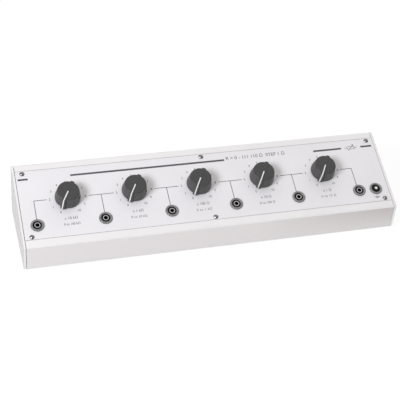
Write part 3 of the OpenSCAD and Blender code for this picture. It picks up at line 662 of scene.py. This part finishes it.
def knob_rib(s):
    """Pointer rib with drafted sides, a leaning front and rounded edges; its tip points to -y."""
    back, foot = s.rib_back, s.tip_foot
    deselect()
    bpy.ops.mesh.primitive_cube_add(size=1, location=(0, (back - s.rib_tip) / 2, (foot + s.rib_height) / 2),
                                    scale=(s.rib_foot_width, back + s.rib_tip, s.rib_height - foot))
    rib = bpy.context.object
    bpy.ops.object.transform_apply()
    edit(rib, "VERT")
    pick(rib, "VERT", lambda m, n: m.z > s.rib_height - NEAR)
    bpy.ops.transform.resize(value=(s.rib_crest_width / s.rib_foot_width, 1, 1), center_override=(0, 0, 0))
    pick(rib, "VERT", lambda m, n: m.z > s.rib_height - NEAR and m.y < 0)
    bpy.ops.transform.translate(value=(0, s.tip_lean, 0))
    bpy.ops.mesh.select_mode(type="EDGE")
    pick(rib, "EDGE", lambda m, d: m.z > foot + NEAR)
    bpy.ops.mesh.bevel(offset=s.rib_round, segments=3, affect="EDGES")
    bpy.ops.object.mode_set(mode="OBJECT")
    return rib


def cutter(radius, low, high, axis_height=None):
    """A plug for a hole: upright from low to high, or lying along +x at a height."""
    deselect()
    if axis_height is None:
        bpy.ops.mesh.primitive_cylinder_add(vertices=BORE_SIDES, radius=radius, depth=high - low,
                                            location=(0, 0, (low + high) / 2))
    else:
        bpy.ops.mesh.primitive_cylinder_add(vertices=HOLE_SIDES, radius=radius, depth=high - low,
                                            location=((low + high) / 2, 0, axis_height),
                                            rotation=(0, math.pi / 2, 0))
    bpy.ops.object.transform_apply()
    return bpy.context.object


def knob_place(k):
    """Where decade k's knob stands at rest, with its pointer towards -y before it is turned."""
    turn = bpy.context.scene.decadebox_print.first_angle
    return PANEL @ Matrix.Translation((KNOB_X[k], KNOB_T, 0)) @ Matrix.Rotation(-turn, 4, "Z")


class DECADEBOX_OT_mould_knobs(bpy.types.Operator):
    """Mould the pointer knobs with rounded edges, hollow undersides and grub screw holes"""
    bl_idname = "decadebox.mould_knobs"
    bl_label = "Mould the knobs"

    def execute(self, context):
        s = context.scene.decadebox_knob
        knob = knob_round(s)
        tools = [("UNION", knob_rib(s)),
                 ("DIFFERENCE", cutter(s.hollow_radius, -s.hollow_height, s.hollow_height)),
                 ("DIFFERENCE", cutter(s.bore_radius, 0, s.bore_height)),
                 ("DIFFERENCE", cutter(s.grub_radius, s.bore_radius / 2, s.rib_tip, s.grub_height))]
        for operation, tool in tools:
            apply_modifier(knob, "BOOLEAN", object=tool, operation=operation, solver="EXACT")
            bpy.data.objects.remove(tool)
        only(knob)
        bpy.ops.object.shade_smooth_by_angle(angle=SMOOTH_ANGLE)
        for k in range(DECADES):
            piece = place(copy_of(knob), knob_place(k))
            dress(piece, f"pointer_knob_{k + 1}", f"dial_{k + 1}", FINISHES["knob_black"])
            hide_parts(f"knob_{k + 1}")
        bpy.data.objects.remove(knob)
        return {"FINISHED"}


SIDE_VIEW = Matrix(((0, 0, -1, 0), (-1, 0, 0, 0), (0, 1, 0, 0), (0, 0, 0, 1)))


class DECADEBOX_OT_pointer_lines(bpy.types.Operator):
    """Fill the white lines on the knobs' ribs, over the crest and down the tip"""
    bl_idname = "decadebox.pointer_lines"
    bl_label = "Paint the pointer lines"

    def execute(self, context):
        s = context.scene.decadebox_knob
        corner = Vector((s.rib_tip - s.tip_lean, s.rib_height))
        front = (Vector((s.rib_tip, s.tip_foot)) - corner).normalized()
        end = corner + front * ((s.line_foot - corner.y) / front.y)
        crest = Vector((0, (s.line_proud - s.line_depth) / 2))
        face = Vector((-front.y, front.x)) * crest.y
        turn = s.rib_round / 2
        course = [Vector((s.line_start, corner.y)) + crest, corner - Vector((turn, 0)) + crest,
                  corner + front * turn + face, end + face]
        line = strip(course, s.line_proud + s.line_depth, s.line_width)
        for k in range(DECADES):
            piece = place(copy_of(line), knob_place(k) @ SIDE_VIEW)
            dress(piece, f"pointer_line_{k + 1}", f"dial_{k + 1}", FINISHES["line_white"])
        bpy.data.objects.remove(line)
        return {"FINISHED"}


def letters(words, height, x, t, width=None):
    """Print as a thin mesh on the panel, centred on its place and spaced out to a width."""
    ink = bpy.context.scene.decadebox_print.ink
    deselect()
    bpy.ops.object.text_add()
    text = bpy.context.object
    text.data.body, text.data.size = words, height / CAPITAL_SHARE
    text.data.align_x, text.data.resolution_u = "CENTER", LETTER_STEPS
    text.data.extrude = ink / 2
    if width:
        bpy.context.view_layer.update()
        close = text.dimensions.x
        text.data.space_character = 2
        bpy.context.view_layer.update()
        text.data.space_character = 1 + (width - close) / (text.dimensions.x - close)
    bpy.ops.object.convert(target="MESH")
    return place(bpy.context.object, PANEL @ Matrix.Translation((x, t - height / 2, ink / 2)))


def skew(band, spot, old, new):
    """Turns the end edge of a band about its middle, from one offset of its corners to another."""
    for sign in (1, -1):
        pick(band, "VERT", lambda m, n: (m - spot - sign * old).length < NEAR)
        bpy.ops.transform.translate(value=sign * (new - old))


def strip(points, width, thickness):
    """A flat band along points of a plane, with mitred corners and a thickness across the plane."""
    points = [Vector((*p, 0)) for p in points]
    runs = [(b - a).normalized() for a, b in zip(points, points[1:])]
    sides = [Vector((-run.y, run.x, 0)) * (width / 2) for run in runs]
    mitres = []
    for before, after in zip(sides, [*sides[1:], sides[-1]]):
        middle = (before + after).normalized()
        mitres.append(middle * (before.length_squared / middle.dot(before)))
    first, second = points[:2]
    deselect()
    bpy.ops.mesh.primitive_plane_add(size=1, location=(first + second) / 2,
                                     rotation=(0, 0, math.atan2(runs[0].y, runs[0].x)))
    bpy.ops.transform.resize(value=((second - first).length, width, 1), orient_type="LOCAL")
    bpy.ops.object.transform_apply()
    band = bpy.context.object
    edit(band, "VERT")
    skew(band, second, sides[0], mitres[0])
    for last, spot, old, new in zip(points[1:], points[2:], mitres, mitres[1:]):
        bpy.ops.mesh.select_mode(type="EDGE")
        pick(band, "EDGE", lambda m, d: (m - last).length < NEAR)
        bpy.ops.mesh.extrude_region_move(TRANSFORM_OT_translate={"value": spot - last})
        bpy.ops.mesh.select_mode(type="VERT")
        skew(band, spot, old, new)
    bpy.ops.object.mode_set(mode="OBJECT")
    apply_modifier(band, "SOLIDIFY", thickness=thickness, offset=0)
    edit(band, "FACE")
    bpy.ops.mesh.select_all(action="SELECT")
    bpy.ops.mesh.normals_make_consistent(inside=False)
    bpy.ops.object.mode_set(mode="OBJECT")
    return band


def stroke(points, width):
    """A printed line along points of the panel."""
    ink = bpy.context.scene.decadebox_print.ink
    return place(strip(points, width, ink), PANEL @ Matrix.Translation((0, 0, ink / 2)))


def printed(x):
    """Where the print puts what stands at x: it lies a little off the row of sockets."""
    p = bpy.context.scene.decadebox_print
    return x * p.stretch + p.offset


def joined(parts, name):
    """Several prints as one piece that stays with the case."""
    only(parts[0])
    for part in parts[1:]:
        part.select_set(True)
    if len(parts) > 1:
        bpy.ops.object.join()
    return dress(bpy.context.object, name, "case", FINISHES["ink"])


FACTORS = ("x 10 kΩ", "x 1 kΩ", "x 100 Ω", "x 10 Ω", "x 1 Ω")
SPANS = ("0 to 100 kΩ", "0 to 10 kΩ", "0 to 1 kΩ", "0 to 100 Ω", "0 to 10 Ω")
RANGE = "R = 0 - 111 110 Ω  STEP 1 Ω"
ARROW_BARBS = (Vector((-1.748, 0.06)) * MM, Vector((-0.38, -1.8)) * MM)


class DECADEBOX_OT_print_dials(bpy.types.Operator):
    """Print the numbers round each knob, and the factor and span under it"""
    bl_idname = "decadebox.print_dials"
    bl_label = "Print the dials"

    def execute(self, context):
        p = context.scene.decadebox_print
        step = 2 * math.pi / (p.steps + 2)
        for k in range(DECADES):
            x = printed(KNOB_X[k])
            numbers = []
            for n in range(p.steps + 1):
                a = -math.pi / 2 - p.first_angle - n * step
                numbers.append(letters(str(n), p.number_height, x + p.number_radius * math.cos(a),
                                       KNOB_T + p.number_radius * math.sin(a)))
            factor = letters(FACTORS[k], p.factor_height, x, KNOB_T - p.factor_drop)
            span = letters(SPANS[k], p.span_height, x, KNOB_T - p.span_drop, p.span_width)
            joined(numbers, f"dial_numbers_{k + 1}")
            joined([factor], f"dial_factor_{k + 1}")
            joined([span], f"dial_span_{k + 1}")
        return {"FINISHED"}


class DECADEBOX_OT_print_circuit(bpy.types.Operator):
    """Print the circuit lines from socket to switch to socket"""
    bl_idname = "decadebox.print_circuit"
    bl_label = "Print the circuit lines"

    def execute(self, context):
        p = context.scene.decadebox_print
        for k in range(SOCKETS):
            x = printed(SOCKET_X[k])
            foot = (x, SOCKET_T + p.thin_end)
            ends = []
            if k > 0:
                ends.append((printed(KNOB_X[k - 1]) + p.thin_reach, KNOB_T))
            if k < DECADES:
                ends.append((printed(KNOB_X[k]) - p.thin_reach, KNOB_T))
            if len(ends) == 1:
                parts = [stroke([*ends, (x, KNOB_T), foot], p.thin_width)]
            else:
                parts = [stroke(ends, p.thin_width), stroke([(x, KNOB_T), foot], p.thin_width)]
            joined(parts, f"circuit_line_{k + 1}")
        return {"FINISHED"}


def bar_height(p):
    """Height of the long bar's middle over the panel's lower edge."""
    return PANEL_HEAD - PANEL_FOOT - p.bar_drop


class DECADEBOX_OT_print_bar(bpy.types.Operator):
    """Print the long bar along the panel's upper edge with the range in its gap"""
    bl_idname = "decadebox.print_bar"
    bl_label = "Print the long bar"

    def execute(self, context):
        p = context.scene.decadebox_print
        t = bar_height(p)
        stops = [p.bar_ends[0], *p.bare_gap, *p.range_gap, *p.sign_gap, p.bar_ends[1]]
        for k, (start, end) in enumerate(zip(stops[::2], stops[1::2])):
            joined([stroke([(start, t), (end, t)], p.bar_width)], f"long_bar_{k + 1}")
        title = letters(RANGE, p.title_height, p.title_place, t + p.title_rise, p.title_width)
        joined([title], "range_print")
        return {"FINISHED"}


def resistor_sign(p):
    """A box with two leads and an arrow across it, in the long bar's gap."""
    middle = Vector((p.resistor_place, bar_height(p)))
    half, rise = Vector((p.resistor_length / 2, 0)), Vector((0, p.resistor_height / 2))
    lead, tip = Vector((p.resistor_lead, 0)), Vector((p.arrow_reach, p.arrow_rise))
    barbs = [tip + barb for barb in ARROW_BARBS]
    courses = [[-half, rise - half, rise + half, half - rise, -half - rise, -half],
               [-lead, -half], [half, lead], [-tip, tip], [barbs[0], tip, barbs[1]]]
    return [stroke([middle + point for point in course], p.sign_width) for course in courses]


def earth_sign(p):
    """A stem with bars under it that get shorter, below the earth terminal."""
    x, t = printed(EARTH.x), EARTH.y - p.earth_drop
    parts = [stroke([(x, t + p.earth_stem), (x, t)], p.sign_width)]
    for n in range(p.earth_bars):
        reach, drop = p.earth_reach * (1 - n / p.earth_bars), n * p.earth_step
        parts.append(stroke([(x - reach, t - drop), (x + reach, t - drop)], p.sign_width))
    return parts


class DECADEBOX_OT_print_signs(bpy.types.Operator):
    """Print the resistor sign in the long bar and the earth sign by its terminal"""
    bl_idname = "decadebox.print_signs"
    bl_label = "Print the signs"

    def execute(self, context):
        p = context.scene.decadebox_print
        joined(resistor_sign(p), "resistor_sign")
        joined(earth_sign(p), "earth_sign")
        return {"FINISHED"}


def lamp(name, power, size, at, aim, tint):
    """A soft rectangular lamp that faces a point."""
    deselect()
    bpy.ops.object.light_add(type="AREA", location=at)
    light = bpy.context.object
    light.name = light.data.name = name
    light.data.energy, light.data.shape, light.data.color = power, "RECTANGLE", tint
    light.data.size, light.data.size_y = size
    light.rotation_mode = "QUATERNION"
    light.rotation_quaternion = (Vector(aim) - Vector(at)).to_track_quat("-Z", "Y")


def soft_sky(studio):
    """Light from overhead, a little from the back right, that fades out to the sides."""
    world = bpy.data.worlds.new("soft_sky")
    world.use_nodes = True
    nodes, links = world.node_tree.nodes, world.node_tree.links
    way, side, fade = (nodes.new(f"ShaderNode{kind}") for kind in ("TexCoord", "VectorMath", "MapRange"))
    side.operation = "DOT_PRODUCT"
    side.inputs[1].default_value = Vector(studio.sky_axis).normalized()
    fade.inputs["To Min"].default_value = studio.sky_dim
    fade.inputs["To Max"].default_value = studio.sky_bright
    links.new(way.outputs["Generated"], side.inputs[0])
    links.new(side.outputs["Value"], fade.inputs["Value"])
    links.new(fade.outputs["Result"], nodes["Background"].inputs["Strength"])
    nodes["Background"].inputs["Color"].default_value = (*studio.sky_tint, 1)
    return world


def paper_floor(colours, studio):
    """The white paper that the box stands on."""
    deselect()
    bpy.ops.mesh.primitive_plane_add(size=FLOOR_SIZE)
    floor = bpy.context.object
    floor.name = floor.data.name = "studio_floor"
    floor.data.materials.append(paper_finish(colours.floor, studio.paper_glow).material)


def photo_camera(studio):
    """A camera that sees the panel as the photograph does."""
    axis, right = Vector(studio.camera_axis).normalized(), Vector(studio.camera_right).normalized()
    up = right.cross(axis).normalized()
    bpy.ops.object.camera_add()
    camera = bpy.context.object
    camera.name = camera.data.name = "photo_camera"
    camera.data.sensor_width, camera.data.lens = SENSOR_WIDTH_MM, studio.focal_length
    camera.data.clip_start, camera.data.clip_end = CLIP_START, CLIP_END
    camera.matrix_world = (Matrix.Translation(PANEL @ Vector(studio.camera_place))
                           @ Matrix((axis.cross(up).normalized(), up, -axis)).transposed().to_4x4())
    return camera


class DECADEBOX_OT_set_stage(bpy.types.Operator):
    """Set up the floor, the soft lights and the camera"""
    bl_idname = "decadebox.set_stage"
    bl_label = "Set the stage"

    def execute(self, context):
        scene, studio = context.scene, context.scene.decadebox_studio
        paper_floor(scene.decadebox_colours, studio)
        lamp("key_light", studio.key_power, (studio.key_width, studio.key_depth),
             studio.key_place, studio.key_aim, studio.key_tint)
        lamp("fill_light", studio.fill_power, (studio.fill_width, studio.fill_depth),
             studio.fill_place, studio.fill_aim, studio.fill_tint)
        scene.world = soft_sky(studio)
        scene.view_settings.view_transform = "Standard"
        scene.view_settings.look = "None"
        scene.camera = photo_camera(studio)
        return {"FINISHED"}


OPERATORS = (
    DECADEBOX_OT_finish_solids,
    DECADEBOX_OT_mould_knobs,
    DECADEBOX_OT_pointer_lines,
    DECADEBOX_OT_print_dials,
    DECADEBOX_OT_print_circuit,
    DECADEBOX_OT_print_bar,
    DECADEBOX_OT_print_signs,
    DECADEBOX_OT_set_stage,
)


class DECADEBOX_PT_looks(bpy.types.Panel):
    """Lists the operators that dress the box"""
    bl_idname = "DECADEBOX_PT_looks"
    bl_label = "Decade box"
    bl_space_type = "VIEW_3D"
    bl_region_type = "UI"
    bl_category = "Decade box"

    def draw(self, context):
        for operator in OPERATORS:
            self.layout.operator(operator.bl_idname)


GROUPS = {
    "decadebox_knob": KnobSizes,
    "decadebox_print": PrintSizes,
    "decadebox_colours": Colours,
    "decadebox_studio": Studio,
}


def register():
    """Adds the classes and the groups of values to Blender."""
    for cls in (*GROUPS.values(), *OPERATORS, DECADEBOX_PT_looks):
        bpy.utils.register_class(cls)
    for name, group in GROUPS.items():
        setattr(bpy.types.Scene, name, PointerProperty(type=group))


def unregister():
    """Takes them away again."""
    for name in GROUPS:
        delattr(bpy.types.Scene, name)
    for cls in (DECADEBOX_PT_looks, *reversed(OPERATORS), *reversed(GROUPS.values())):
        bpy.utils.unregister_class(cls)


def main():
    """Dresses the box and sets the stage."""
    register()
    bpy.ops.decadebox.finish_solids()
    bpy.ops.decadebox.mould_knobs()
    bpy.ops.decadebox.pointer_lines()
    bpy.ops.decadebox.print_dials()
    bpy.ops.decadebox.print_circuit()
    bpy.ops.decadebox.print_bar()
    bpy.ops.decadebox.print_signs()
    bpy.ops.decadebox.set_stage()


if __name__ == "__main__":
    main()
